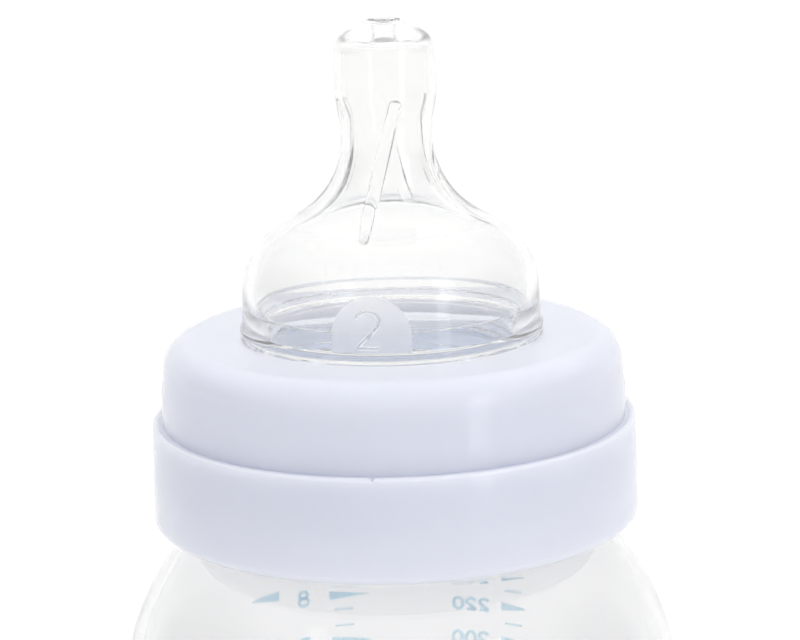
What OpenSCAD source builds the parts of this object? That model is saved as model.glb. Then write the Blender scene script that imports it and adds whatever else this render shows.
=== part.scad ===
// Wide-neck baby bottle with a two-tier screw ring and a soft teat.
// Millimetres, +Z up, origin at the centre of the base. The front of the bottle faces -Y.

/* [Bottle] */
// Height of the screw ring's lower edge above the base
collar_z = 103; // [100:0.5:106]
// Largest outside diameter, at the shoulder
shoulder_d = 73; // [71:0.5:75]
// Radius of the arc that forms the shoulder
shoulder_arc = 29.5; // [28:0.5:31]
// Distance of the widest point below the screw ring
shoulder_drop = 24; // [22:0.5:26]
// Outside diameter at the waist
waist_d = 57; // [55:0.5:59]
// Height of the waist above the base
waist_z = 45; // [42:0.5:48]
// Outside diameter of the straight band above the base
base_d = 66; // [64:0.5:68]
// Radius of the arc between the base band and the waist
base_arc = 14; // [12:0.5:16]
// Radius of the outside corner at the base
base_corner = 5; // [4:0.5:6]
// Depth of the hollow under the base
base_hollow = 2.2; // [1.5:0.1:2.6]
// Wall thickness of the bottle
bottle_wall = 1.5; // [1.3:0.1:1.7]
// Outside diameter of the neck, under the thread
neck_d = 52.4; // [52:0.1:52.6]

/* [Screw ring] */
// Outside diameter of the lower tier at its lower edge
ring_d = 63.2; // [62.8:0.1:64]
// Height of the ledge between the tiers
ledge_h = 13.4; // [13:0.1:14]
// Outside diameter of the upper tier's straight band, where a travel cap clips on
upper_d = 60; // [59.6:0.1:60.2]
// Height of that straight band
upper_band_h = 3.6; // [3:0.1:4]
// Radius of the rounded edge between the upper tier's side and its top
crown_r = 3.6; // [3.2:0.1:3.8]
// Height of the top surface at the teat hole
ring_top_h = 24.2; // [24:0.1:24.4]
// How far the top surface falls towards its edge, per millimetre
top_slope = 0.02; // [0:0.01:0.04]
// Diameter of the teat hole
hole_d = 38.4; // [38.2:0.1:38.6]
// Thickness of the top
ring_wall = 1.8; // [1.6:0.1:1.9]
// Inside diameter of the ring where the thread runs
ring_bore_d = 56.2; // [56:0.1:56.4]

/* [Thread] */
// Height gained in one turn
thread_lead = 8; // [8:0.1:8.4]
// Turns of each start
thread_turns = 0.95; // [0.7:0.05:1]
// Height of a thread ridge above its wall
thread_depth = 1.3; // [1.1:0.1:1.3]
// Width of a ridge at its root
thread_root_w = 1.7; // [1.5:0.1:1.7]
// Width of a ridge at its crest
thread_crest_w = 0.8; // [0.6:0.1:0.9]
// Axial play between the ring's thread and the neck's thread
thread_play = 0.25; // [0.2:0.05:0.4]

/* [Teat] */
// Radius of the nipple's head
tip_r = 6.5; // [6.3:0.1:6.8]
// Radius of the nipple's neck
nipple_neck_r = 5.95; // [5.8:0.05:6.1]
// Height of the top of the teat above the ring's lower edge
teat_top_h = 64.25; // [63.75:0.25:65]
// Radius of the concave flare
flare_arc = 11.2; // [11:0.1:11.4]
// Radius of the convex dome
dome_arc = 10.4; // [10.2:0.1:10.6]
// Radius of the dome's straight foot
dome_r = 19.1; // [19:0.05:19.15]
// Wall thickness of the dome
dome_wall = 1.5; // [1.3:0.1:1.6]
// Wall thickness of the nipple's neck
neck_wall = 1.25; // [1.1:0.05:1.3]
// Wall thickness of the nipple's head
tip_wall = 0.95; // [0.8:0.05:1.1]
// Thickness of the nipple's end
end_wall = 2.7; // [2.2:0.1:3]
// Depth of the shallow dish in the nipple's end
end_dish = 0.9; // [0.6:0.1:1.1]
// Number of anti-collapse ribs inside the nipple
rib_count = 4; // [3:1:5]
// Width of a rib
rib_w = 1.9; // [1.5:0.1:2]
// Height of a rib above the inner wall
rib_h = 0.7; // [0.5:0.1:0.7]
// How far a rib's foot leans to one side
rib_foot_lean = 3.1; // [1:0.1:4]
// How far a rib's top leans to the other side
rib_top_lean = 1.35; // [0.5:0.05:1.5]
// Diameter of each milk hole
milk_hole_d = 0.5; // [0.4:0.1:0.8]

/* [Hidden] */
$fn = 128;
arc_n = 14;          // steps in a short arc
helix_n = 60;        // thread steps in one turn
helix_fade = 6;      // steps over which a thread ridge fades at each end
thread_starts = 2;
embed = 0.4;         // depth that a ridge sinks into its wall, so that the two fuse
fit_gap = 0.08;      // radial play of a running fit
face_gap = 0.05;     // play between faces that rest on each other

// Bottle
shoulder_z = collar_z - shoulder_drop;
shoulder_cx = shoulder_d / 2 - shoulder_arc;
waist_off = waist_d / 2 - shoulder_cx;
waist_arc = (pow(waist_off, 2) + pow(shoulder_z - waist_z, 2) - pow(shoulder_arc, 2))
    / (2 * (shoulder_arc - waist_off));
waist_cx = waist_d / 2 + waist_arc;
base_cx = base_d / 2 - base_arc;
base_arc_z = waist_z - sqrt(pow(waist_arc + base_arc, 2) - pow(waist_cx - base_cx, 2));
neck_r = neck_d / 2;
neck_fillet = 1;
neck_cx = neck_r + neck_fillet;
neck_fillet_z = shoulder_z
    + sqrt(pow(shoulder_arc + neck_fillet, 2) - pow(neck_cx - shoulder_cx, 2));
foot_r = base_d / 2 - base_corner;      // outer edge of the flat foot
foot_w = 6;                             // width of the flat foot
rim_round = 0.5;
low_angle = atan2(waist_z - base_arc_z, waist_cx - base_cx);
high_angle = atan2(shoulder_z - waist_z, waist_cx - shoulder_cx);
neck_angle = atan2(neck_fillet_z - shoulder_z, neck_cx - shoulder_cx);

// Screw ring: heights are above collar_z
low_r = ring_d / 2;
low_taper = 0.3;        // the lower tier narrows this much on its way up to the ledge
low_corner = 1.3;
ledge_r = low_r - low_taper;
ledge_corner = 0.5;
band_r = upper_d / 2;
top_r = band_r - 0.4;   // the side of the upper tier leans in this much above its band
hole_r = hole_d / 2;
bore_r = ring_bore_d / 2;
lip = 0.45;             // rounding at the edge of the teat hole
nick = 0.55;            // side of the alignment nick
nick_angle = -95;
nick_len = 1.6;
mouth_w = 0.4;          // bevel inside the lower edge
mouth_h = 0.6;
bore_bevel = 0.6;       // bevel between the bore and the underside of the top
skirt_bore_r = low_r - 2;
skirt_bore_h = 4.6;     // the bore widens below this height
bore_bottom_h = 6.2;    // and has its full thickness above this one
cone_angle = atan(top_slope);
crown_x = top_r - crown_r;
crown_h = ring_top_h - top_slope * (crown_x + crown_r * sin(cone_angle) - hole_r)
    - crown_r * cos(cone_angle);
ring_under_h = ring_top_h - ring_wall;
flange_r = neck_r + 0.1;
flange_t = 1.5;         // room for the teat's flange between the neck's rim and the ring
rim_h = ring_under_h - top_slope * (flange_r - hole_r) - flange_t;   // the neck's rim
flange_bottom_h = rim_h + face_gap;

// Thread: heights are above collar_z
thread_end_gap = 2.4;   // from the neck's rim down to the end of its thread
neck_thread_h = rim_h - thread_end_gap - thread_turns * thread_lead;
ridge_drop = thread_root_w + thread_play
    - (thread_root_w - thread_crest_w) * (ring_bore_d - neck_d) / 4 / thread_depth;
ring_thread_h = neck_thread_h - ridge_drop;   // the ring's ridges hook just under the neck's

// Teat: heights are above collar_z
dome_h = 29.6;          // where the dome's straight foot begins
bead_out = 0.45;        // how far the bead stands out over the ring's lip
bead_r = 0.9;
groove_r = hole_r - fit_gap;
band_in_r = 16.4;       // least inner radius of the thick band inside the foot
band_taper = 0.4;
band_top_h = 27.8;
band_low_h = 24.3;
band_round = 0.3;
shelf_round = 0.4;
foot_in_r = 18.6;       // where the foot's underside begins
foot_round = 0.8;
skirt_in_r = 22.7;      // the thin skirt that vents the bottle
skirt_out_r = 23.7;
skirt_len = 3;
tip_cap = 3.7;          // height of the rounded end of the head
head_low = 50.8;        // the neck widens to the head between these two heights
head_high = 55.3;
disc_r = 2.6;           // the edge of the dish in the nipple's end, and points around that edge
dish_edge = [[0.1, -0.3], [-0.15, -0.05], [-0.3, 0], [-0.45, -0.05], [-0.65, -0.35]];
cavity_corner = 1.3;    // rounding inside the end of the nipple
milk_hole_x = 1.1;
rib_low = 37.4;
rib_high = 54.7;
rib_steps = 27;
rib_crest = 0.8;        // share of its width that a rib keeps at its crest
inner_neck_r = nipple_neck_r - neck_wall;
inner_tip_r = tip_r - tip_wall;

function arc(cx, cz, r, a0, a1, n = arc_n) =
    [for (i = [0:n]) let (a = a0 + (a1 - a0) * i / n) [cx + r * cos(a), cz + r * sin(a)]];
function ellipse_arc(cz, rx, rz, a0, a1, n = arc_n) =
    [for (i = [0:n]) let (a = a0 + (a1 - a0) * i / n) [rx * cos(a), cz + rz * sin(a)]];
function ease(t) = (1 - cos(180 * t)) / 2;
function reverse(v) = [for (i = [len(v) - 1:-1:0]) v[i]];
// The shallow dish under the base, raised by t
function dish(t, n = 8) = [for (i = [0:n]) let (u = i / n)
    [(foot_r - foot_w) * u, t + base_hollow * (1 - u * u)]];

// One side of the bottle's wall, in from the outside by t, from the foot to the neck
function wall_side(t) = concat(
    arc(foot_r, base_corner, base_corner - t, -90, 0),
    arc(base_cx, base_arc_z, base_arc - t, 0, low_angle),
    arc(waist_cx, waist_z, waist_arc + t, 180 + low_angle, 180 - high_angle, 2 * arc_n),
    arc(shoulder_cx, shoulder_z, shoulder_arc - t, -high_angle, neck_angle, 3 * arc_n),
    arc(neck_cx, neck_fillet_z, neck_fillet + t, 180 + neck_angle, 180, 6)
);

// A trapezium ridge along a helix. It stands from wall_r towards crest_r and fades out at both ends.
module helix_ridge(wall_r, crest_r, bottom_h, start_angle) {
    side = sign(crest_r - wall_r);
    steps = ceil(thread_turns * helix_n);
    pts = [for (i = [0:steps]) let (
            a = start_angle + 360 * i / helix_n,
            z = bottom_h + thread_lead * i / helix_n,
            k = max(0.04, min(1, i / helix_fade, (steps - i) / helix_fade)),
            r_in = wall_r - side * embed,
            r_out = wall_r + (crest_r - wall_r) * k,
            root = thread_root_w / 2 * (0.4 + 0.6 * k),
            crest = thread_crest_w / 2 * (0.4 + 0.6 * k))
        each [for (q = [[r_in, -root], [r_out, -crest], [r_out, crest], [r_in, root]])
            [q[0] * cos(a), q[0] * sin(a), z + q[1]]]];
    walls = [for (i = [0:steps - 1], j = [0:3])
        let (p = 4 * i + j, q = 4 * i + (j + 1) % 4)
        each [[p, p + 4, q + 4], [p, q + 4, q]]];
    caps = [[0, 1, 2], [0, 2, 3],
        [4 * steps + 2, 4 * steps + 1, 4 * steps], [4 * steps + 3, 4 * steps + 2, 4 * steps]];
    faces = concat(walls, caps);
    polyhedron(pts, side < 0 ? faces : [for (f = faces) reverse(f)], convexity = 6);
}

module thread(wall_r, crest_r, bottom_h) {
    for (s = [0:thread_starts - 1])
        translate([0, 0, collar_z])
            helix_ridge(wall_r, crest_r, bottom_h, 360 * s / thread_starts);
}

module bottle() {
    rim_z = collar_z + rim_h;
    outside = concat(
        dish(0),
        wall_side(0),
        arc(neck_r - rim_round, rim_z - rim_round, rim_round, 0, 90, 5)
    );
    inside = concat(
        dish(bottle_wall),
        wall_side(bottle_wall),
        arc(neck_r - bottle_wall + rim_round, rim_z - rim_round, rim_round, 180, 90, 5)
    );
    color([0.93, 0.94, 0.96, 0.45]) union() {
        rotate_extrude() polygon(concat(outside, reverse(inside)));
        thread(neck_r, neck_r + thread_depth, neck_thread_h);
    }
}

module screw_ring() {
    outside = concat(
        arc(low_r - low_corner, low_corner, low_corner, -90, 0, 8),
        arc(ledge_r - ledge_corner, ledge_h - ledge_corner, ledge_corner, 0, 90, 6),
        [[band_r + 0.5, ledge_h - 0.35], [band_r, ledge_h - 0.1], [band_r, ledge_h + upper_band_h]],
        arc(crown_x, crown_h, crown_r, 4, 90 - cone_angle, 12),
        arc(hole_r + lip, ring_top_h - lip - top_slope * lip, lip, 80, 180, 8)
    );
    inside = [
        [hole_r, ring_under_h + 0.1],
        [hole_r + 0.2, ring_under_h - top_slope * 0.2],
        [bore_r - bore_bevel, ring_under_h - top_slope * (bore_r - bore_bevel - hole_r)],
        [bore_r, ring_under_h - top_slope * (bore_r - hole_r) - bore_bevel],
        [bore_r, bore_bottom_h],
        [skirt_bore_r, skirt_bore_h],
        [skirt_bore_r, mouth_h],
        [skirt_bore_r + mouth_w, 0]
    ];
    color([0.86, 0.88, 0.95]) union() {
        difference() {
            translate([0, 0, collar_z]) rotate_extrude() polygon(concat(outside, inside));
            // alignment nick in the edge of the ledge, at the front
            rotate([0, 0, nick_angle]) translate([ledge_r - 0.35, 0, collar_z + ledge_h])
                rotate([45, 0, 0]) cube([nick_len, nick, nick], center = true);
        }
        thread(bore_r, bore_r - thread_depth, ring_thread_h);
    }
}

// The teat's wall from the dome's foot up to the top of the flare, for a given surface
function flare_z(rn, r1, rb, r2) = dome_h + sqrt(pow(r1 + r2, 2) - pow(rn + r1 - rb + r2, 2));
function dome_and_flare(rn, r1, rb, r2) =
    let (z1 = flare_z(rn, r1, rb, r2),
        a = atan2(z1 - dome_h, rn + r1 - rb + r2))
    concat(
        arc(rb - r2, dome_h, r2, 0, a, 2 * arc_n),
        arc(rn + r1, z1, r1, 180 + a, 180, 2 * arc_n));
function head(rn, rt, z0, z1) = [for (i = [1:10]) [rn + (rt - rn) * ease(i / 10), z0 + (z1 - z0) * i / 10]];

inner_wall = concat(
    dome_and_flare(inner_neck_r, flare_arc + neck_wall, dome_r - dome_wall, dome_arc - dome_wall),
    head(inner_neck_r, inner_tip_r, head_low, head_high));

// A rib on the inner wall. It leans across as it climbs, and gets narrower and lower at its foot.
module rib() {
    wall = [for (p = inner_wall) [p.y, p.x]];
    path = [for (i = [0:rib_steps]) let (z = rib_low + (rib_high - rib_low) * i / rib_steps)
        [lookup(z, wall), z]];
    n = len(path) - 1;
    function dir(i) = let (d = path[min(n, i + 1)] - path[max(0, i - 1)]) d / norm(d);
    pts = [for (i = [0:n]) let (
            t = (path[i].y - rib_low) / (rib_high - rib_low),
            d = dir(i),
            inward = [-d.y, d.x],
            a = asin((rib_top_lean * t - rib_foot_lean * (1 - t)) / path[i].x),
            tall = rib_h * max(0.1, min(1, 3 * t, 9 * (1 - t))),
            w = rib_w / 2 * max(0.4, min(1, 2.6 * t)))
        each [for (q = [[-w, -embed], [-w * rib_crest, tall], [w * rib_crest, tall], [w, -embed]])
            let (r = path[i].x + inward.x * q[1], z = path[i].y + inward.y * q[1],
                b = a + q[0] / max(r, 1) * 180 / PI)
            [r * cos(b), r * sin(b), z]]];
    walls = [for (i = [0:n - 1], j = [0:3])
        let (p = 4 * i + j, q = 4 * i + (j + 1) % 4)
        each [[p, q, q + 4], [p, q + 4, p + 4]]];
    caps = [[0, 2, 1], [0, 3, 2], [4 * n, 4 * n + 1, 4 * n + 2], [4 * n, 4 * n + 2, 4 * n + 3]];
    polyhedron(pts, concat(walls, caps), convexity = 6);
}

module teat() {
    under = ring_under_h - face_gap;
    bead_h = ring_top_h + face_gap + bead_r;
    cavity_h = teat_top_h - end_wall;
    outside = concat(
        [[flange_r, flange_bottom_h]],
        [[flange_r, under - top_slope * (flange_r - hole_r)]],
        [[groove_r, under]],
        [[groove_r, ring_top_h + face_gap - top_slope * 0.3]],
        arc(dome_r + bead_out - bead_r, bead_h, bead_r, -70, 50, 10),
        dome_and_flare(nipple_neck_r, flare_arc, dome_r, dome_arc),
        head(nipple_neck_r, tip_r, head_low, head_high),
        ellipse_arc(teat_top_h - 0.1 - tip_cap, tip_r, tip_cap, 0, 62, 12),
        [for (q = dish_edge) [disc_r + q.x, teat_top_h + q.y]],
        [[disc_r - 1, teat_top_h - end_dish], [0, teat_top_h - end_dish]]
    );
    inside = concat(
        [[0, cavity_h]],
        arc(inner_tip_r - cavity_corner, cavity_h - cavity_corner, cavity_corner, 90, 0, 8),
        reverse(inner_wall),
        arc(dome_r - dome_wall - shelf_round, band_top_h + shelf_round, shelf_round, 0, -80, 5),
        arc(band_in_r + band_taper + band_round, band_top_h - band_round, band_round, 90, 180, 5),
        [[band_in_r, band_low_h], [band_in_r + 0.5, band_low_h - 0.2]],
        arc(foot_in_r, flange_bottom_h + foot_round, foot_round, 200, 270, 6),
        [[skirt_in_r, flange_bottom_h], [skirt_in_r + 0.2, flange_bottom_h - skirt_len],
            [skirt_out_r - 0.2, flange_bottom_h - skirt_len], [skirt_out_r, flange_bottom_h]]
    );
    color([0.97, 0.97, 0.96, 0.5]) difference() {
        translate([0, 0, collar_z]) union() {
            rotate_extrude() polygon(concat(outside, inside));
            for (i = [0:rib_count - 1])
                rotate([0, 0, -90 + 360 * i / rib_count])
                    rib();
        }
        // milk holes through the end of the nipple
        for (x = [-milk_hole_x, milk_hole_x])
            translate([x, 0, collar_z + teat_top_h - end_wall - 1])
                cylinder(h = end_wall + 2, d = milk_hole_d);
    }
}

bottle();
screw_ring();
teat();
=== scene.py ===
"""A wide-neck baby bottle: clear waisted bottle, two-tier lilac screw ring and clear silicone teat.

The shapes are turned profiles in millimetres, and every mesh is scaled to metres as it is made. They
follow the CAD model, with finer edges. The nipple's ribs, the milk holes and a few small radii differ
from it. Heights of the ring and the teat are above the ring's lower edge.
"""
import math

import bmesh
import bpy
import numpy as np
from mathutils import Matrix, Vector


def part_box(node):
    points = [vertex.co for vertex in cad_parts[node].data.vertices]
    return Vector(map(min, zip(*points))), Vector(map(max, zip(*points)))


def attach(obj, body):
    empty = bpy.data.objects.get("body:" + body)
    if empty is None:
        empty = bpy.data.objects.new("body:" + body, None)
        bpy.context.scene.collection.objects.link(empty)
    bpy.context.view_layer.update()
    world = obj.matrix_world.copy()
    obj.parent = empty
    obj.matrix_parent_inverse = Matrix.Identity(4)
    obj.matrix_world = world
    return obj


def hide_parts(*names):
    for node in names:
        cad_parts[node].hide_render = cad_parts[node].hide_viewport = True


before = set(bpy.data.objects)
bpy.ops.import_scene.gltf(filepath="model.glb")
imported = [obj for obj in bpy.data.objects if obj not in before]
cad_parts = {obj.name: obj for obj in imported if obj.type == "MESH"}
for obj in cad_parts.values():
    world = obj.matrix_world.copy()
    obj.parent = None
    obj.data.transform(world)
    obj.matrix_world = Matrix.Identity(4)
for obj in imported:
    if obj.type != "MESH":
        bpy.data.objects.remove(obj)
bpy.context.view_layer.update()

MM = 0.001
SHARP_ANGLE = 32       # degrees between two faces, from which their edge stays crisp

# ---------------------------------------------------------------- dimensions, in millimetres

COLLAR_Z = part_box("screw_ring")[0].z / MM          # the ring's lower edge above the base
TEAT_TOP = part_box("teat")[1].z / MM - COLLAR_Z      # above the ring's lower edge

# Bottle
SHOULDER_D, SHOULDER_ARC, SHOULDER_DROP = 72.96, 29.5, 24.0   # a hair inside the CAD node
WAIST_D, WAIST_Z = 57.0, 45.0
BASE_D, BASE_ARC, BASE_CORNER = 66.0, 14.0, 5.0
FOOT_W, BASE_HOLLOW = 6.0, 2.2
BOTTLE_WALL = 1.5
NECK_R, NECK_FILLET, INNER_FILLET, RIM_ROUND = 26.2, 1.0, 0.4, 0.5

# Screw ring
RING_R, LEDGE_R, LEDGE_H = 31.6, 31.3, 13.4
UPPER_R, UPPER_TOP_R, UPPER_BAND_H = 30.0, 29.6, 3.6
RING_TOP_H, TOP_SLOPE, HOLE_R, RING_WALL = 24.2, 0.02, 19.2, 1.8
RING_CORNER, LEDGE_CORNER, CROWN, LIP = 1.3, 0.5, 3.6, 0.45
STEP_W, STEP_LOW, STEP_HIGH = 0.5, 0.35, 0.1       # the fold where the ledge meets the upper tier
NICK, NICK_HALF, NICK_IN, NICK_TURN = 0.55, 0.8, 0.35, 5   # the alignment nick in the ledge's edge
RING_BORE_R, BORE_BOTTOM, BORE_BEVEL = 28.1, 6.2, 0.6
SKIRT_WALL, SKIRT_TOP = 2.0, 4.6                   # the ring's thinner lower end
MOUTH_W, MOUTH_H = 0.4, 0.6                        # bevel inside the lower edge

# Thread
THREAD_LEAD, THREAD_STARTS, THREAD_TURNS = 8.0, 2, 0.95
THREAD_DEPTH, THREAD_ROOT, THREAD_CREST, THREAD_PLAY = 1.3, 1.7, 0.8, 0.25
THREAD_END_GAP, THREAD_EDGE = 2.4, 0.18            # below the neck's rim; rounding of the crest

# Teat
TIP_R, TEAT_NECK_R, DOME_R = 6.5, 5.95, 19.1
FLARE_ARC, DOME_ARC, DOME_H = 11.2, 10.4, 29.6
DOME_WALL, NECK_WALL, TIP_WALL = 1.5, 1.25, 0.95
HEAD_LOW, HEAD_HIGH = 50.8, 55.3                   # where the head swells out of the nipple's neck
TIP_CAP, CAP_DROP, CAP_END = 3.7, 0.1, 62          # the rounded end: height, drop and last angle
DISC_R, DISH_DEPTH, DISH_CORNER = 2.6, 0.9, 0.4    # the shallow dish in the nipple's end
DISH_EDGE = ((0.1, 0.3), (-0.05, 0.1), (-0.2, 0.02), (-0.3, 0), (-0.4, 0.03),
             (-0.5, 0.12), (-0.62, 0.35))          # its rim: out from DISC_R, and down from the top
DISH_FLOOR_R = 1.5                                 # the flat part of its floor
END_WALL, CAVITY_CORNER = 2.7, 1.3                 # the thick end that the milk holes run through
BEAD_OUT, BEAD_R = 0.45, 0.9                       # the bead that sits on the ring's top
BAND_R, BAND_TOP, BAND_LOW = 16.4, 27.8, 24.3       # the thick band inside the teat's foot
BAND_TAPER, BAND_ROUND, SHELF_ROUND = 0.4, 0.12, 0.4   # lean of its face, its edge and its inner corner
FOOT_IN, FOOT_ROUND = 18.6, 0.8
SKIRT_IN, SKIRT_OUT, SKIRT_LEN, SKIRT_TAPER = 22.7, 23.7, 3.0, 0.2
FLANGE_T = 1.5                                     # room for the teat's flange over the neck's rim
FIT_GAP, FACE_GAP = 0.08, 0.05                     # play around the teat
SINK = 0.4                                         # how deep a ridge starts inside its wall

# Worked out from the above
SHOULDER_Z = COLLAR_Z - SHOULDER_DROP
SHOULDER_CX = SHOULDER_D / 2 - SHOULDER_ARC
CONE_ANGLE = math.degrees(math.atan(TOP_SLOPE))
FLANGE_R = NECK_R + 0.1
RIM_H = RING_TOP_H - RING_WALL - TOP_SLOPE * (FLANGE_R - HOLE_R) - FLANGE_T
FLANGE_H = RIM_H + FACE_GAP
NECK_THREAD_H = RIM_H - THREAD_END_GAP - THREAD_TURNS * THREAD_LEAD
RIDGE_DROP = (THREAD_ROOT + THREAD_PLAY
              - (THREAD_ROOT - THREAD_CREST) * (RING_BORE_R - NECK_R) / 2 / THREAD_DEPTH)
FRONT, BACK = -90.0, 90.0                          # angles about the axis


# ---------------------------------------------------------------- profiles: lists of (radius, height)

def oval(cx, cz, rx, rz, a0, a1, n=18):
    """Points on an ellipse from angle a0 to a1, in degrees."""
    angles = np.radians(np.linspace(a0, a1, n + 1))
    return [(cx + rx * math.cos(a), cz + rz * math.sin(a)) for a in angles]


def arc(cx, cz, r, a0, a1, n=14):
    """Points on a circle from angle a0 to a1, in degrees."""
    return oval(cx, cz, r, r, a0, a1, n)


def dish(t, n=16):
    """The hollow under the base, raised by t."""
    foot = BASE_D / 2 - BASE_CORNER - FOOT_W
    return [(foot * u, t + BASE_HOLLOW * (1 - u * u)) for u in np.linspace(0, 1, n + 1)]


def bottle_side(t):
    """The bottle's side, in from the outside by t, from the foot to the neck."""
    waist_off = WAIST_D / 2 - SHOULDER_CX
    rise = SHOULDER_Z - WAIST_Z
    waist_arc = (waist_off ** 2 + rise ** 2 - SHOULDER_ARC ** 2) / (2 * (SHOULDER_ARC - waist_off))
    waist_cx = WAIST_D / 2 + waist_arc
    base_cx = BASE_D / 2 - BASE_ARC
    base_arc_z = WAIST_Z - math.sqrt((waist_arc + BASE_ARC) ** 2 - (waist_cx - base_cx) ** 2)
    fillet = INNER_FILLET if t else NECK_FILLET
    neck_cx = NECK_R - t + fillet
    neck_z = SHOULDER_Z + math.sqrt((SHOULDER_ARC - t + fillet) ** 2 - (neck_cx - SHOULDER_CX) ** 2)
    low = math.degrees(math.atan2(WAIST_Z - base_arc_z, waist_cx - base_cx))
    high = math.degrees(math.atan2(rise, waist_cx - SHOULDER_CX))
    neck = math.degrees(math.atan2(neck_z - SHOULDER_Z, neck_cx - SHOULDER_CX))
    return (arc(BASE_D / 2 - BASE_CORNER, BASE_CORNER, BASE_CORNER - t, -90, 0, 12)
            + arc(base_cx, base_arc_z, BASE_ARC - t, 0, low, 12)
            + arc(waist_cx, WAIST_Z, waist_arc + t, 180 + low, 180 - high, 44)
            + arc(SHOULDER_CX, SHOULDER_Z, SHOULDER_ARC - t, -high, neck, 64)
            + arc(neck_cx, neck_z, fillet, 180 + neck, 180, 8))


def bottle_profile():
    """The bottle's section: up its outside to the neck's rim, and down its inside."""
    rim = COLLAR_Z + RIM_H
    outside = (dish(0) + bottle_side(0)
               + arc(NECK_R - RIM_ROUND, rim - RIM_ROUND, RIM_ROUND, 0, 90, 6))
    inside = (dish(BOTTLE_WALL) + bottle_side(BOTTLE_WALL)
              + arc(NECK_R - BOTTLE_WALL + RIM_ROUND, rim - RIM_ROUND, RIM_ROUND, 180, 90, 6))
    return outside + inside[::-1]


def ring_profile():
    """The ring's section: up its outside, over the top to the teat's hole, and down its bore."""
    under = RING_TOP_H - RING_WALL
    crown_x = UPPER_TOP_R - CROWN
    cone = math.radians(CONE_ANGLE)
    crown_z = (RING_TOP_H - TOP_SLOPE * (crown_x + CROWN * math.sin(cone) - HOLE_R)
               - CROWN * math.cos(cone))
    return (arc(RING_R - RING_CORNER, RING_CORNER, RING_CORNER, -90, 0, 10)
            + arc(LEDGE_R - LEDGE_CORNER, LEDGE_H - LEDGE_CORNER, LEDGE_CORNER, 0, 90, 8)
            + [(UPPER_R + STEP_W, LEDGE_H - STEP_LOW), (UPPER_R, LEDGE_H - STEP_HIGH),
               (UPPER_R, LEDGE_H + UPPER_BAND_H)]
            + arc(crown_x, crown_z, CROWN, 4, 90 - CONE_ANGLE, 24)
            + arc(HOLE_R + LIP, RING_TOP_H - LIP - TOP_SLOPE * LIP, LIP, 80, 180, 10)
            + [(HOLE_R, under + 0.1), (HOLE_R + 0.2, under - TOP_SLOPE * 0.2),
               (RING_BORE_R - BORE_BEVEL, under - TOP_SLOPE * (RING_BORE_R - BORE_BEVEL - HOLE_R)),
               (RING_BORE_R, under - TOP_SLOPE * (RING_BORE_R - HOLE_R) - BORE_BEVEL),
               (RING_BORE_R, BORE_BOTTOM), (RING_R - SKIRT_WALL, SKIRT_TOP),
               (RING_R - SKIRT_WALL, MOUTH_H), (RING_R - SKIRT_WALL + MOUTH_W, 0)])


def teat_wall(wall_low, wall_neck, wall_tip):
    """The dome, the flare and the head's side as one curve, each stretch inset by its wall's thickness."""
    r_neck, r_tip = TEAT_NECK_R - wall_neck, TIP_R - wall_tip
    flare, dome, foot = FLARE_ARC + wall_neck, DOME_ARC - wall_low, DOME_R - wall_low
    rise = math.sqrt((flare + dome) ** 2 - (r_neck + flare - foot + dome) ** 2)
    bend = math.degrees(math.atan2(rise, r_neck + flare - foot + dome))
    turn = [(r_neck + (r_tip - r_neck) * (1 - math.cos(math.pi * t)) / 2,
             HEAD_LOW + (HEAD_HIGH - HEAD_LOW) * t) for t in np.linspace(0.08, 1, 14)]
    return (arc(foot - dome, DOME_H, dome, 0, bend, 34)
            + arc(r_neck + flare, DOME_H + rise, flare, 180 + bend, 180, 34) + turn)


OUTER_WALL = teat_wall(0, 0, 0)
INNER_WALL = teat_wall(DOME_WALL, NECK_WALL, TIP_WALL)
BEAD = arc(DOME_R + BEAD_OUT - BEAD_R, RING_TOP_H + FACE_GAP + BEAD_R, BEAD_R, -70, 50, 16)
LOW_WALL = [BEAD[-1]] + OUTER_WALL                 # the front of the foot, where the frosted mark sits


def teat_profile():
    """The teat's section: flange, snap groove, bead and outside to the tip, and back down its inside."""
    under = RING_TOP_H - RING_WALL - FACE_GAP
    groove = HOLE_R - FIT_GAP
    floor = TEAT_TOP - DISH_DEPTH
    outside = ([(FLANGE_R, FLANGE_H), (FLANGE_R, under - TOP_SLOPE * (FLANGE_R - HOLE_R)),
                (groove, under), (groove, RING_TOP_H + FACE_GAP - TOP_SLOPE * 0.3)]
               + BEAD + OUTER_WALL
               + oval(0, TEAT_TOP - CAP_DROP - TIP_CAP, TIP_R, TIP_CAP, 0, CAP_END, 16)
               + [(DISC_R + out, TEAT_TOP - down) for out, down in DISH_EDGE]
               + arc(DISH_FLOOR_R, floor + DISH_CORNER, DISH_CORNER, 0, -90, 6) + [(0, floor)])
    cavity_r, cavity_top = TIP_R - TIP_WALL, TEAT_TOP - END_WALL
    inside = ([(0, cavity_top)]
              + arc(cavity_r - CAVITY_CORNER, cavity_top - CAVITY_CORNER, CAVITY_CORNER, 90, 0, 14)
              + INNER_WALL[::-1]
              + arc(DOME_R - DOME_WALL - SHELF_ROUND, BAND_TOP + SHELF_ROUND, SHELF_ROUND, 0, -80, 5)
              + arc(BAND_R + BAND_TAPER + BAND_ROUND, BAND_TOP - BAND_ROUND, BAND_ROUND, 90, 180, 5)
              + [(BAND_R, BAND_LOW), (BAND_R + 0.1, BAND_LOW - 0.1), (BAND_R + 0.5, BAND_LOW - 0.2)]
              + arc(FOOT_IN, FLANGE_H + FOOT_ROUND, FOOT_ROUND, 200, 270, 8)
              + [(SKIRT_IN, FLANGE_H), (SKIRT_IN + SKIRT_TAPER, FLANGE_H - SKIRT_LEN),
                 (SKIRT_OUT - SKIRT_TAPER, FLANGE_H - SKIRT_LEN), (SKIRT_OUT, FLANGE_H)])
    return outside + inside


# ---------------------------------------------------------------- meshes

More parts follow.
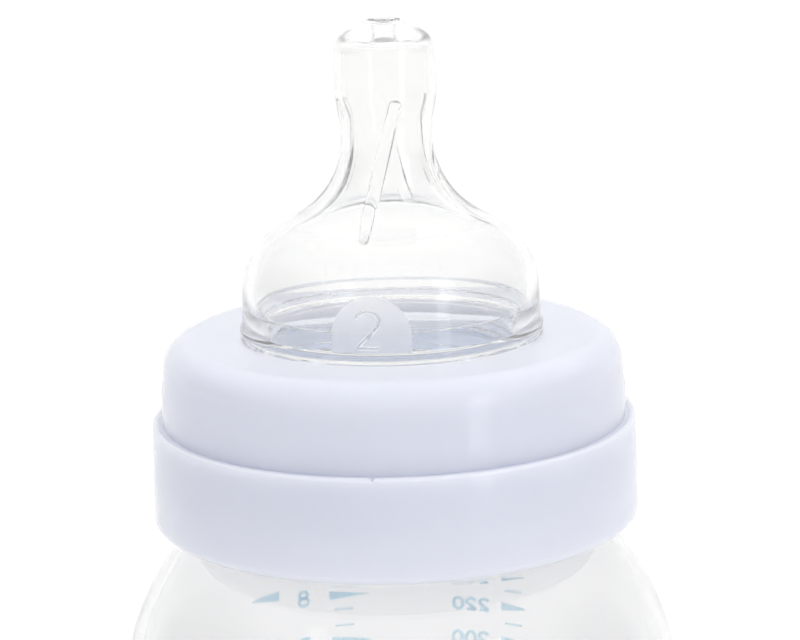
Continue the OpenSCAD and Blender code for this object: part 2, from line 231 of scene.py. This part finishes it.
def make_piece(name, verts, faces, smooth=True, material=None):
    """A mesh object from vertices in millimetres."""
    mesh = bpy.data.meshes.new(name)
    mesh.from_pydata([Vector(v) * MM for v in verts], [], faces)
    mesh.validate()
    piece = bpy.data.objects.new(name, mesh)
    bpy.context.scene.collection.objects.link(piece)
    if smooth:
        mesh.shade_smooth()
    if material:
        mesh.materials.append(material)
    return piece


def turned(name, profile, material, lift=0.0, steps=256):
    """Revolves a closed profile about Z. A point on the axis becomes one vertex."""
    verts, faces, rows = [], [], []
    angles = [2 * math.pi * j / steps for j in range(steps)]
    for r, z in profile:
        rows.append((len(verts), r > 1e-9))
        if r > 1e-9:
            verts += [(r * math.cos(a), r * math.sin(a), z + lift) for a in angles]
        else:
            verts.append((0, 0, z + lift))
    for i, (low, low_wide) in enumerate(rows):
        high, high_wide = rows[(i + 1) % len(rows)]
        for j in range(steps):
            k = (j + 1) % steps
            if low_wide and high_wide:
                faces.append((low + j, low + k, high + k, high + j))
            elif high_wide:
                faces.append((low, high + k, high + j))
            elif low_wide:
                faces.append((low + j, low + k, high))
    return make_piece(name, verts, faces, material=material)


def swept(name, sections, material):
    """Joins a row of closed sections with the same number of points, and closes both ends."""
    n = len(sections[0])
    verts = [p for section in sections for p in section]
    faces = [(i * n + j, i * n + (j + 1) % n, (i + 1) * n + (j + 1) % n, (i + 1) * n + j)
             for i in range(len(sections) - 1) for j in range(n)]
    faces += [tuple(range(n))[::-1], tuple(range(len(verts) - n, len(verts)))]
    piece = make_piece(name, verts, faces, material=material)
    face_outward(piece.data)
    return piece


def face_outward(mesh):
    """Turns a closed mesh's faces to look outward."""
    work = bmesh.new()
    work.from_mesh(mesh)
    bmesh.ops.recalc_face_normals(work, faces=work.faces)
    work.to_mesh(mesh)
    work.free()


def combine(piece, tool, operation):
    """Applies a Boolean and removes the tool. The tool's materials come along."""
    cut = piece.modifiers.new("combine", "BOOLEAN")
    cut.operation, cut.solver, cut.material_mode, cut.object = operation, "MANIFOLD", "TRANSFER", tool
    depsgraph = bpy.context.evaluated_depsgraph_get()
    result = bpy.data.meshes.new_from_object(piece.evaluated_get(depsgraph))
    piece.modifiers.clear()
    old, piece.data = piece.data, result
    result.name = piece.name
    bpy.data.objects.remove(tool)
    bpy.data.meshes.remove(old)


def finish_mesh(piece):
    """Smooth shading that stays crisp at real corners."""
    piece.data.shade_smooth()
    piece.data.set_sharp_from_angle(angle=math.radians(SHARP_ANGLE))


def wall_radius(wall, z):
    """The radius of a wall, given as a rising profile, at height z."""
    return float(np.interp(z, [p[1] for p in wall], [p[0] for p in wall]))


def on_wall(wall, angle, z, out, lift=0.0):
    """The point at an angle and a height on a wall, and out from it along its normal."""
    step = 0.05
    slope = (wall_radius(wall, z + step) - wall_radius(wall, z - step)) / (2 * step)
    norm = math.hypot(1, slope)
    r, h = wall_radius(wall, z) + out / norm, z - slope * out / norm
    a = math.radians(angle)
    return (r * math.cos(a), r * math.sin(a), h + lift)


# A ridge's outlines, as shares of its half width and its height
ROUND = [(-1, 0), (-0.98, 0.2), (-0.8, 0.6), (-0.45, 0.92), (0, 1),
         (0.45, 0.92), (0.8, 0.6), (0.98, 0.2), (1, 0)]
ONE_STEEP = [(-1, 0), (-0.92, 0.4), (-0.74, 0.8), (-0.4, 1), (0.2, 1),
             (0.9, 1), (0.97, 0.85), (0.99, 0.5), (1, 0)]
FLAT = [(-1, 0), (-1, 1), (1, 1), (1, 0)]


def at_share(size, share):
    """A size that is a number, or a function of the share of a path."""
    return size(share) if callable(size) else size


def wall_ridge(wall, path, width, height, side, material, lift=0.0, ends=0.5, outline=ROUND, sink=SINK):
    """A ridge along a path of (angle, z) on a wall. side is 1 outward and -1 inward. The width and the
    height may be functions of the share of the path. Each end is rounded over ends mm, or square at 0."""
    points = [Vector(on_wall(wall, a, z, 0, lift)) for a, z in path]
    along = np.cumsum([0] + [(q - p).length for p, q in zip(points, points[1:])])
    sections = []
    for i, (angle, z) in enumerate(path):
        here, share = points[i], along[i] / along[-1]
        ahead = (points[min(i + 1, len(path) - 1)] - points[max(i - 1, 0)]).normalized()
        normal = (Vector(on_wall(wall, angle, z, side, lift)) - here).normalized()
        across = ahead.cross(normal)
        edge = min(along[i], along[-1] - along[i]) / ends if ends else 1
        round_off = math.sqrt(max(0.02, 1 - (1 - min(edge, 1)) ** 2))
        half, tall = at_share(width, share) / 2 * round_off, at_share(height, share) * round_off
        section = [(-half, -sink)] + [(half * x, tall * h) for x, h in outline] + [(half, -sink)]
        sections.append([here + across * x + normal * h for x, h in section])
    return swept("ridge", sections, material)


def thread(wall_r, crest_r, bottom, start, material):
    """One thread ridge with rounded edges, which fades out at both ends."""
    side = 1 if crest_r > wall_r else -1
    per_turn = 180
    steps, fade = math.ceil(THREAD_TURNS * per_turn), per_turn / 10
    sections = []
    for i in range(steps + 1):
        k = max(0.04, min(1, i / fade, (steps - i) / fade))
        a = math.radians(start + 360 * i / per_turn)
        z = bottom + THREAD_LEAD * i / per_turn
        out = wall_r + (crest_r - wall_r) * k
        inner = wall_r - side * SINK
        swell = 0.4 + 0.6 * k
        root, crest = THREAD_ROOT / 2 * swell, THREAD_CREST / 2 * swell
        edge = min(THREAD_EDGE, abs(out - wall_r) * 0.5)
        shoulder, shoulder_h = wall_r + (out - wall_r) * 0.75, crest + (root - crest) * 0.22
        outline = [(inner, -root), (shoulder, -shoulder_h), (out - side * edge * 0.3, -crest + edge * 0.3),
                   (out, -crest + edge), (out, crest - edge),
                   (out - side * edge * 0.3, crest - edge * 0.3), (shoulder, shoulder_h), (inner, root)]
        sections.append([(r * math.cos(a), r * math.sin(a), COLLAR_Z + z + h) for r, h in outline])
    return swept("thread", sections, material)


def add_threads(piece, wall_r, crest_r, bottom, material):
    """Fuses one ridge for each start of the thread to a piece."""
    for start in range(THREAD_STARTS):
        ridge = thread(wall_r, crest_r, bottom, 360 * start / THREAD_STARTS, material)
        combine(piece, ridge, "UNION")


FIGURE_BOX = 0.62      # the width of the box that the figures are drawn in, which is 1 high


def strokes():
    """The centre lines of plain figures."""
    six = [oval(0.31, 0.31, 0.26, 0.27, 0, 360), [(0.05, 0.34), (0.10, 0.58), (0.24, 0.82), (0.46, 0.96)]]
    return {
        "0": [oval(0.31, 0.5, 0.26, 0.46, 0, 360, 26)],
        "1": [[(0.12, 0.78), (0.36, 0.96), (0.36, 0.04)]],
        "2": [oval(0.31, 0.70, 0.26, 0.26, 165, -38) + [(0.05, 0.04)], [(0.05, 0.04), (0.58, 0.04)]],
        "3": [oval(0.29, 0.73, 0.24, 0.22, 150, -90), oval(0.29, 0.28, 0.27, 0.24, 90, -150)],
        "4": [[(0.44, 0.04), (0.44, 0.96), (0.04, 0.30), (0.58, 0.30)]],
        "5": [[(0.52, 0.96), (0.12, 0.96), (0.09, 0.55)] + oval(0.29, 0.33, 0.27, 0.29, 128, -150)],
        "6": six,
        "7": [[(0.04, 0.96), (0.57, 0.96), (0.22, 0.04)]],
        "8": [oval(0.31, 0.73, 0.22, 0.22, 0, 360), oval(0.31, 0.28, 0.26, 0.24, 0, 360)],
        "9": [[(FIGURE_BOX - x, 1 - z) for x, z in line] for line in six],
    }


def figure(digit, width, height):
    """One figure's strokes at a size in millimetres."""
    return [[(x / FIGURE_BOX * width, z * height) for x, z in line] for line in strokes()[digit]]


def resample(line, step):
    """Points at an even spacing along a polyline."""
    points = np.array(line, float)
    along = np.concatenate([[0], np.cumsum(np.hypot(*np.diff(points, axis=0).T))])
    places = np.linspace(0, along[-1], max(2, int(along[-1] / step)) + 1)
    return list(zip(np.interp(places, along, points[:, 0]), np.interp(places, along, points[:, 1])))


# ---------------------------------------------------------------- materials

def new_material(name):
    """A node material, its node tree and its shader."""
    material = bpy.data.materials.new(name)
    material.use_nodes = True
    tree = material.node_tree
    shader = tree.nodes["Principled BSDF"]
    return material, tree, shader


def noise(tree, scale, detail=3.0):
    """Noise over the object's own coordinates, with scale in cycles per metre."""
    coords = tree.nodes.new("ShaderNodeTexCoord")
    texture = tree.nodes.new("ShaderNodeTexNoise")
    texture.inputs["Scale"].default_value = scale
    texture.inputs["Detail"].default_value = detail
    tree.links.new(coords.outputs["Object"], texture.inputs["Vector"])
    return texture.outputs["Fac"]


def spread(tree, value, low, high):
    """Maps the middle of a noise value to a range of numbers."""
    node = tree.nodes.new("ShaderNodeMapRange")
    node.inputs["From Min"].default_value = 0.3
    node.inputs["From Max"].default_value = 0.7
    node.inputs["To Min"].default_value = low
    node.inputs["To Max"].default_value = high
    tree.links.new(value, node.inputs["Value"])
    return node.outputs["Result"]


def tint(tree, value, dark, light):
    """A colour between two, led by a noise value."""
    ramp = tree.nodes.new("ShaderNodeValToRGB")
    ramp.color_ramp.elements[0].position = 0.3
    ramp.color_ramp.elements[0].color = (*dark, 1)
    ramp.color_ramp.elements[1].position = 0.7
    ramp.color_ramp.elements[1].color = (*light, 1)
    tree.links.new(value, ramp.inputs["Fac"])
    return ramp.outputs["Color"]


def by_angle(tree, colour):
    """The colour face on, and painted white where the surface is seen edge on: a painted sheen standing in
    for the bright reflections at clear plastic's edges.
    """
    facing = tree.nodes.new("ShaderNodeLayerWeight")
    facing.inputs["Blend"].default_value = 0.35
    mix = tree.nodes.new("ShaderNodeMix")
    mix.data_type = "RGBA"
    mix.inputs["B"].default_value = (0.95, 0.95, 0.95, 1)
    tree.links.new(facing.outputs["Facing"], mix.inputs["Factor"])
    tree.links.new(colour, mix.inputs["A"])
    return mix.outputs["Result"]


def bump(tree, shader, height, distance):
    """Relief of a given depth in metres."""
    node = tree.nodes.new("ShaderNodeBump")
    node.inputs["Distance"].default_value = distance
    tree.links.new(height, node.inputs["Height"])
    tree.links.new(node.outputs["Normal"], shader.inputs["Normal"])


def clear_plastic():
    """Clear moulded bottle plastic: nearly colourless, a little hazy, smooth, with faint flow waves. It is
    greyer face on, partly haze and partly painted shade, and its edges are painted white as a sheen.
    """
    material, tree, shader = new_material("clear_plastic")
    shader.inputs["Transmission Weight"].default_value = 0.93
    shader.inputs["IOR"].default_value = 1.49
    # grey face on: partly the plastic's haze, partly painted shade for the shaded floor seen through the
    # middle
    grey = tint(tree, noise(tree, 40), (0.895, 0.895, 0.898), (0.905, 0.905, 0.908))
    # the edges are painted white, a painted sheen for the reflections there
    tree.links.new(by_angle(tree, grey), shader.inputs["Base Color"])
    tree.links.new(spread(tree, noise(tree, 300), 0.02, 0.06), shader.inputs["Roughness"])
    bump(tree, shader, noise(tree, 90, 1.0), 0.00004)
    return material


def lilac_plastic(name="lilac_plastic", dark=(0.555, 0.572, 0.640), depth=0.006):
    """Lilac plastic that light goes a little way into, glossy, with a fine moulded skin."""
    material, tree, shader = new_material(name)
    shader.inputs["IOR"].default_value = 1.49
    shader.inputs["Subsurface Weight"].default_value = 1.0
    shader.inputs["Subsurface Radius"].default_value = (1.0, 1.0, 1.0)
    shader.inputs["Subsurface Scale"].default_value = depth
    tree.links.new(tint(tree, noise(tree, 60, 4.0), dark, tuple(c + 0.015 for c in dark)),
                   shader.inputs["Base Color"])
    tree.links.new(spread(tree, noise(tree, 500), 0.09, 0.14), shader.inputs["Roughness"])
    bump(tree, shader, noise(tree, 1500, 2.0), 0.000002)
    return material


def silicone(name="silicone", clear=0.96, rough=(0.02, 0.06), light=(0.954, 0.954, 0.949),
             grain=0.000002):
    """Clear silicone, or frosted silicone when it is less clear and rougher."""
    material, tree, shader = new_material(name)
    shader.inputs["Transmission Weight"].default_value = clear
    shader.inputs["IOR"].default_value = 1.41
    dark = tuple(c - 0.01 for c in light)
    tree.links.new(tint(tree, noise(tree, 80), dark, light), shader.inputs["Base Color"])
    tree.links.new(spread(tree, noise(tree, 400), *rough), shader.inputs["Roughness"])
    bump(tree, shader, noise(tree, 2500, 2.0), grain)
    return material


def print_ink():
    """Pale blue printing ink, a little uneven."""
    material, tree, shader = new_material("scale_ink")
    shader.inputs["Transmission Weight"].default_value = 0.8
    shader.inputs["IOR"].default_value = 1.49
    tree.links.new(tint(tree, noise(tree, 1200), (0.58, 0.86, 1.0), (0.64, 0.89, 1.0)),
                   shader.inputs["Base Color"])
    tree.links.new(spread(tree, noise(tree, 2000), 0.35, 0.5), shader.inputs["Roughness"])
    bump(tree, shader, noise(tree, 4000), 0.000004)
    return material


# ---------------------------------------------------------------- the camera

CAMERA_DISTANCE = 320.0       # millimetres in front of the axis
CAMERA_ABOVE_COLLAR = 98.2
CAMERA_RIGHT = 1.09
CAMERA_PITCH = 12.8           # degrees down
CAMERA_ROLL = -1.5
CAMERA_ANGLE = 17.86          # horizontal field of view


def make_camera():
    """The photograph's camera."""
    data = bpy.data.cameras.new("camera")
    data.sensor_width = 36.0
    data.angle = math.radians(CAMERA_ANGLE)
    data.clip_start, data.clip_end = 0.01, 50.0
    camera = bpy.data.objects.new("camera", data)
    turn = (Matrix.Rotation(math.radians(90 - CAMERA_PITCH), 4, "X")
            @ Matrix.Rotation(math.radians(CAMERA_ROLL), 4, "Z"))
    place = Vector((CAMERA_RIGHT, -CAMERA_DISTANCE, COLLAR_Z + CAMERA_ABOVE_COLLAR)) * MM
    camera.matrix_world = Matrix.Translation(place) @ turn
    bpy.context.scene.collection.objects.link(camera)
    bpy.context.scene.camera = camera


# ---------------------------------------------------------------- the pieces

def make_bottle(material):
    """The bottle with its neck thread."""
    piece = turned("bottle_shell", bottle_profile(), material)
    add_threads(piece, NECK_R, NECK_R + THREAD_DEPTH, NECK_THREAD_H, material)
    finish_mesh(piece)
    return piece


def make_ring(material, inner):
    """The screw ring with its thread and the alignment nick."""
    piece = turned("ring_shell", ring_profile(), material, COLLAR_Z)
    add_threads(piece, RING_BORE_R, RING_BORE_R - THREAD_DEPTH, NECK_THREAD_H - RIDGE_DROP, material)
    corners = [(x, y, z) for x in (-NICK_HALF, NICK_HALF)
               for y in (-NICK / 2, NICK / 2) for z in (-NICK / 2, NICK / 2)]
    faces = [(0, 1, 3, 2), (4, 6, 7, 5), (0, 4, 5, 1), (2, 3, 7, 6), (0, 2, 6, 4), (1, 5, 7, 3)]
    place = (Matrix.Rotation(math.radians(FRONT - NICK_TURN), 4, "Z")
             @ Matrix.Translation((LEDGE_R - NICK_IN, 0, COLLAR_Z + LEDGE_H))
             @ Matrix.Rotation(math.radians(45), 4, "X"))
    nick = make_piece("nick", [place @ Vector(c) for c in corners], faces, material=material)
    face_outward(nick.data)
    combine(piece, nick, "DIFFERENCE")
    finish_mesh(piece)
    piece.data.materials.append(inner)
    # faces that look inward or down, between the hole's edge and the bore, take the inner material: a
    # lighter, bluer copy of the lilac that paints light into the ring's cavity
    for face in piece.data.polygons:
        out = face.center.xy
        inward = out.dot(face.normal.xy) / max(out.length, 1e-9) < -0.2
        downward = face.normal.z < -0.5
        if (inward or downward) and HOLE_R + 0.5 < out.length / MM < RING_BORE_R + 0.05:
            face.material_index = 1
    return piece


RIB_COUNT, RIB_H = 4, 0.7
RIB_FOOT_W, RIB_TOP_W = 2.1, 1.4
RIB_FOOT_X, RIB_TOP_X = -3.1, 1.35     # how far a rib lies to the side of its own middle plane
RIB_LOW, RIB_HIGH = 37.4, 54.7


def rib(turn, material):
    """An anti-collapse rib inside the nipple: it leans as it climbs, and is low and narrow at its foot."""
    path = []
    for t in np.linspace(0, 1, 90):
        z = RIB_LOW + (RIB_HIGH - RIB_LOW) * t
        aside = RIB_FOOT_X + (RIB_TOP_X - RIB_FOOT_X) * t
        path.append((FRONT + turn + math.degrees(math.asin(aside / wall_radius(INNER_WALL, z))), z))

    def width(t):
        return (RIB_FOOT_W + (RIB_TOP_W - RIB_FOOT_W) * t) * min(1, 0.45 + 2.2 * t)

    def height(t):
        return RIB_H * min(1, 0.02 + 2.2 * t)

    return wall_ridge(INNER_WALL, path, width, height, -1, material, COLLAR_Z, 0.6, ONE_STEEP)


# The frosted pad and its figure on the front, and the small ribs and the pip on the back
MARK_W, MARK_LOW, MARK_TOP, MARK_LEFT = 9.9, 25.5, 32.7, 2.5
MARK_PROUD = 0.1
FIGURE_W, FIGURE_H, FIGURE_LEFT, FIGURE_LOW = 3.4, 4.9, 4.6, 26.2
FIGURE_LINE, FIGURE_PROUD = 0.55, 0.3
MILK_HOLE_R, MILK_HOLE_X = 0.15, 1.1
BACK_RIBS = np.linspace(-9.1, 6.6, 8)          # to the right of the middle, seen from the front
BACK_RIB_W, BACK_RIB_H, BACK_RIB_LOW, BACK_RIB_LEN = 0.5, 0.35, 28.4, 1.7
PIP_FROM, PIP_TO, PIP_Z, PIP_W, PIP_H = 8.6, 9.6, 26.1, 0.7, 0.3      # and these to the left


def flow_mark(material):
    """The frosted arch-shaped pad on the teat's front wall."""
    half = MARK_W / 2
    spring = MARK_TOP - half
    rows, columns = 40, 36
    outside, inside = [], []
    for i in range(rows + 1):
        z = MARK_LOW + (MARK_TOP - 0.02 - MARK_LOW) * math.sin(math.pi / 2 * i / rows)
        width = half if z < spring else math.sqrt(max(half ** 2 - (z - spring) ** 2, 0.01))
        angles = [FRONT + math.degrees((-MARK_LEFT + width * s) / DOME_R)
                  for s in np.linspace(-1, 1, columns + 1)]
        for store, out in ((outside, MARK_PROUD), (inside, -SINK)):
            store.append([on_wall(LOW_WALL, angle, z, out, COLLAR_Z) for angle in angles])
    sections = [o + n[::-1] for o, n in zip(outside, inside)]
    return swept("mark", sections, material)


def make_teat(clear, frosted):
    """The teat with its ribs, milk holes, frosted pad and figure."""
    piece = turned("teat_shell", teat_profile(), clear, COLLAR_Z)
    for i in range(RIB_COUNT):
        combine(piece, rib(360 * i / RIB_COUNT, clear), "UNION")
    # two milk holes through the end
    low, high = TEAT_TOP - END_WALL - 0.3, TEAT_TOP + 2
    for x in (-MILK_HOLE_X, MILK_HOLE_X):
        hole = turned("hole", [(0, low), (MILK_HOLE_R, low), (MILK_HOLE_R, high), (0, high)],
                      clear, COLLAR_Z, 24)
        hole.data.transform(Matrix.Translation((x * MM, 0, 0)))
        combine(piece, hole, "DIFFERENCE")
    combine(piece, flow_mark(frosted), "UNION")
    # the figure on the pad, as a clear raised line
    for line in figure("2", FIGURE_W, FIGURE_H):
        path = [(FRONT + math.degrees((x - FIGURE_LEFT) / DOME_R), FIGURE_LOW + z)
                for x, z in resample(line, 0.12)]
        stroke = wall_ridge(LOW_WALL, path, FIGURE_LINE, FIGURE_PROUD, 1, clear, COLLAR_Z, 0.2)
        combine(piece, stroke, "UNION")
    # short ribs on the back of the inner wall, which lean more towards the sides
    for x in BACK_RIBS:
        angle = BACK - math.degrees(x / (DOME_R - DOME_WALL))
        lean = 2.2 * (x + 2.4) / 9
        path = [(angle - lean * (t - 0.5), BACK_RIB_LOW + BACK_RIB_LEN * t) for t in np.linspace(0, 1, 12)]
        short = wall_ridge(INNER_WALL, path, BACK_RIB_W, BACK_RIB_H, -1, clear, COLLAR_Z, 0.3)
        combine(piece, short, "UNION")
    # a locating pip on the band
    band = [(BAND_R, BAND_LOW), (BAND_R + BAND_TAPER, BAND_TOP)]
    path = [(BACK + math.degrees(x / BAND_R), PIP_Z) for x in np.linspace(PIP_FROM, PIP_TO, 8)]
    combine(piece, wall_ridge(band, path, PIP_W, PIP_H, -1, clear, COLLAR_Z, 0.3), "UNION")
    finish_mesh(piece)
    return piece


SCALE_LINE, TICK_LINE, INK_UP, INK_SINK = 0.48, 0.28, 0.03, 0.05
ML_ANGLE, OZ_ANGLE = 72.9, 113.3       # columns on the back of the bottle
OUNCE = 28.413                         # millilitres in a UK fluid ounce
ML_H, ML_PITCH, OZ_H, OZ_PITCH = 1.95, 2.0, 2.6, 2.2   # the figures' heights and spacing
FIGURE_SHARE = 0.84                    # how much of its spacing a figure fills
# Flags are a start, a length and a height, and ticks a start and a length. Left is positive, as
# seen from the front.
OZ_LEFT_FLAG, OZ_RIGHT_FLAG, ML_FLAG = (4.1, 4.8, 1.5), (-4.1, -6.2, 1.7), (-4.8, -4.0, 1.3)
OZ_TICK, ML_TICK = (-4.8, -2.9), (-5.4, -2.8)
OZ_LEFT_UP = 1.2                       # how far the left flags sit above their own line


def fill_height(volume, wall):
    """The height above the base that a volume in millilitres reaches inside the bottle."""
    heights = np.linspace(wall[0][1], COLLAR_Z, 2000)
    radii = np.interp(heights, [p[1] for p in wall], [p[0] for p in wall])
    foot = BASE_D / 2 - BASE_CORNER - FOOT_W
    millilitres = np.cumsum(np.pi * radii ** 2 * (heights[1] - heights[0])) / 1000
    hump = math.pi * foot ** 2 * BASE_HOLLOW / 2 / 1000
    return float(np.interp(volume + hump, millilitres, heights))


def make_scale(ink):
    """The printed scale on the back of the bottle: millilitres in one column and ounces in the other.
    The ounces' left flags sit a little above their own line, as in the photograph."""
    outside, inside = bottle_side(0), bottle_side(BOTTLE_WALL)
    ribbons = []

    def at(column, u, z):
        return column + math.degrees(u / wall_radius(outside, z)), z

    def draw(column, line, width):
        path = [at(column, u, z) for u, z in line]
        ribbons.append(wall_ridge(outside, path, width, INK_UP, 1, ink, 0, 0, FLAT, INK_SINK))

    def write(column, text, middle, size, pitch):
        for i, digit in enumerate(text):
            left = (i - len(text) / 2 + (1 - FIGURE_SHARE) / 2) * pitch
            for line in figure(digit, pitch * FIGURE_SHARE, size):
                points = [(left + x, middle - size / 2 + z) for x, z in resample(line, 0.16)]
                draw(column, points, SCALE_LINE)

    def flag(column, z, start, length, high):
        line = [(start + length * t, z) for t in np.linspace(0, 1, 16)]
        draw(column, line, lambda t: 0.05 + high * (1 - t) ** 0.75)

    def tick(column, z, start, length):
        draw(column, [(start + length * t, z) for t in np.linspace(0, 1, 8)], TICK_LINE)

    for ounces in range(1, 10):
        z = fill_height(ounces * OUNCE, inside)
        write(OZ_ANGLE, str(ounces), z, OZ_H, OZ_PITCH)
        flag(OZ_ANGLE, z + OZ_LEFT_UP, *OZ_LEFT_FLAG)
        flag(OZ_ANGLE, z, *OZ_RIGHT_FLAG)
        for third in (1, 2):
            tick(OZ_ANGLE, fill_height((ounces - third / 3) * OUNCE, inside), *OZ_TICK)
    for volume in range(20, 261, 20):
        z = fill_height(volume, inside)
        write(ML_ANGLE, str(volume), z, ML_H, ML_PITCH)
        flag(ML_ANGLE, z, *ML_FLAG)
        tick(ML_ANGLE, fill_height(volume - 10, inside), *ML_TICK)
    bpy.context.view_layer.update()
    scale = ribbons[0]
    with bpy.context.temp_override(active_object=scale, selected_editable_objects=ribbons):
        bpy.ops.object.join()
    scale.name = scale.data.name = "bottle_scale"
    scale.data.shade_flat()
    return scale


# ---------------------------------------------------------------- the studio

FLOOR_GAP = 0.3        # keeps the floor clear of the flat foot, so that no two faces share a plane
FLOOR_X, FLOOR_Y = (-6000, 6000), (-6000, 9000)
SKY_STRENGTH = 1.72
LIGHT_AIM = (0, 0, 0.1)
SKY = ((0.0, 0.62), (0.12, 0.61), (0.35, 0.60), (1.0, 1.0))      # brightness from the horizon up
SIDES = ((0.02, 0.3), (0.13, 1.0), (0.91, 1.0), (0.98, 0.5))     # and from left to right


def set_levels(ramp, levels):
    """Gives a colour ramp these places and grey levels."""
    while len(ramp.elements) < len(levels):
        ramp.elements.new(0.5)
    for element, (place, level) in zip(ramp.elements, levels):
        element.position, element.color = place, (level, level, level, 1)


def make_world():
    """Soft white light from all round, brightest overhead and darker at the far left and the far right."""
    world = bpy.data.worlds.new("studio")
    bpy.context.scene.world = world
    world.use_nodes = True
    tree = world.node_tree
    coords = tree.nodes.new("ShaderNodeTexCoord")
    direction = tree.nodes.new("ShaderNodeSeparateXYZ")
    sky = tree.nodes.new("ShaderNodeValToRGB")
    tree.links.new(coords.outputs["Generated"], direction.inputs["Vector"])
    tree.links.new(direction.outputs["Z"], sky.inputs["Fac"])
    set_levels(sky.color_ramp, SKY)
    side = tree.nodes.new("ShaderNodeValToRGB")
    set_levels(side.color_ramp, SIDES)
    across = tree.nodes.new("ShaderNodeMapRange")
    across.inputs["From Min"].default_value = -1.0
    tree.links.new(direction.outputs["X"], across.inputs["Value"])
    tree.links.new(across.outputs["Result"], side.inputs["Fac"])
    both = tree.nodes.new("ShaderNodeMix")
    both.data_type, both.blend_type = "RGBA", "MULTIPLY"
    both.inputs["Factor"].default_value = 1.0
    tree.links.new(sky.outputs["Color"], both.inputs["A"])
    tree.links.new(side.outputs["Color"], both.inputs["B"])
    background = tree.nodes["Background"]
    tree.links.new(both.outputs["Result"], background.inputs["Color"])
    background.inputs["Strength"].default_value = SKY_STRENGTH


def make_floor():
    """A plain pale floor."""
    floor = make_piece("floor", [(x, y, -FLOOR_GAP) for x in FLOOR_X for y in FLOOR_Y],
                       [(0, 2, 3, 1)], smooth=False)
    material, _, shader = new_material("floor")
    shader.inputs["Base Color"].default_value = (0.8, 0.8, 0.8, 1)
    shader.inputs["Roughness"].default_value = 0.9
    shader.inputs["Specular IOR Level"].default_value = 0.1
    floor.data.materials.append(material)


def softbox(name, place, width, height, power):
    """A soft light, in metres and watts, that faces the middle of the object."""
    data = bpy.data.lights.new(name, "AREA")
    data.shape, data.size, data.size_y, data.energy = "RECTANGLE", width, height, power
    light = bpy.data.objects.new(name, data)
    place = Vector(place)
    turn = (Vector(LIGHT_AIM) - place).to_track_quat("-Z", "Y").to_matrix().to_4x4()
    light.matrix_world = Matrix.Translation(place) @ turn
    bpy.context.scene.collection.objects.link(light)


def set_light_paths():
    """Plain colours, and enough bounces for light to cross the clear walls."""
    bpy.context.scene.view_settings.view_transform = "Standard"
    cycles = bpy.context.scene.cycles
    cycles.blur_glossy = 0.0
    cycles.max_bounces = cycles.transmission_bounces = 32
    cycles.diffuse_bounces, cycles.glossy_bounces = 8, 16


# ---------------------------------------------------------------- build

make_camera()
make_world()
make_floor()
softbox("right", (1.4, -1.3, 1.0), 0.5, 1.2, 3)
softbox("strip", (0.33, -0.40, 0.16), 0.09, 0.3, 0.13)
set_light_paths()

bottle = make_bottle(clear_plastic())
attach(bottle, "bottle")
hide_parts("bottle")

scale = make_scale(print_ink())
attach(scale, "bottle")

# The ring's inside is a lighter, bluer copy of the lilac, which paints the light that fills the cavity
# seen through the teat, and light goes deeper into it.
ring = make_ring(lilac_plastic(), lilac_plastic("lilac_painted_fill", (0.52, 0.61, 0.96), 0.02))
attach(ring, "screw_ring")
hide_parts("screw_ring")

clear = silicone()
frosted = silicone("frosted_silicone", 0.86, (0.4, 0.5), (0.97, 0.97, 0.98), 0.00002)
teat = make_teat(clear, frosted)
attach(teat, "teat")
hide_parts("teat")

bpy.context.view_layer.update()
